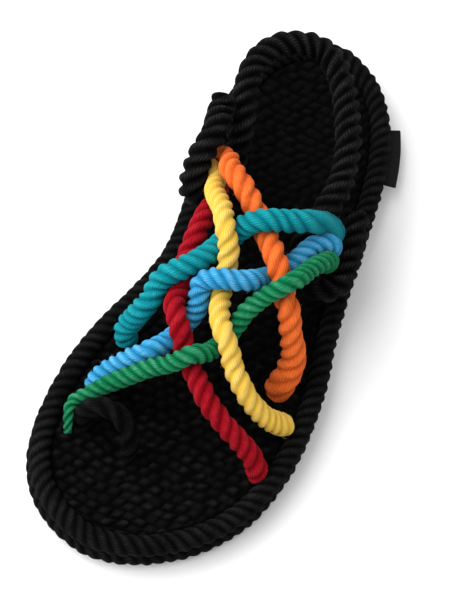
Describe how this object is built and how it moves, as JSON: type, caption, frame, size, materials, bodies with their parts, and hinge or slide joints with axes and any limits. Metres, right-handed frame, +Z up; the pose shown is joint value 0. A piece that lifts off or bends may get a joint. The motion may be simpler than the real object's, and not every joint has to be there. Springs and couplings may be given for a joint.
{
  "type": "rope sandal",
  "caption": "Left-foot rope sandal: woven rope sole with a roped edge, coloured ropes laced over the instep, a rope heel strap and a big-toe loop.",
  "frame": {"origin": "centre of the sole's length and width, on the floor", "axes": "+X towards the toe, +Y towards the outer side of the left foot, +Z up"},
  "size_m": [0.2664, 0.1057, 0.073],
  "materials": {
    "sole_mat": "matte",
    "rim_rope_lower": "matte",
    "rim_rope_upper": "matte",
    "rope_orange": "matte",
    "rope_yellow": "matte",
    "rope_red": "matte",
    "rope_teal": "matte",
    "rope_blue": "matte",
    "rope_green": "matte",
    "heel_strap": "matte",
    "toe_loop": "matte",
    "tag": "matte"
  },
  "bodies": {
    "root": {"sole_mat": "sole_mat", "rim_rope_lower": "rim_rope_lower", "rim_rope_upper": "rim_rope_upper", "rope_orange": "rope_orange", "rope_yellow": "rope_yellow", "rope_red": "rope_red", "rope_teal": "rope_teal", "rope_blue": "rope_blue", "rope_green": "rope_green", "heel_strap": "heel_strap", "toe_loop": "toe_loop", "tag": "tag"}
  },
  "joints": []
}
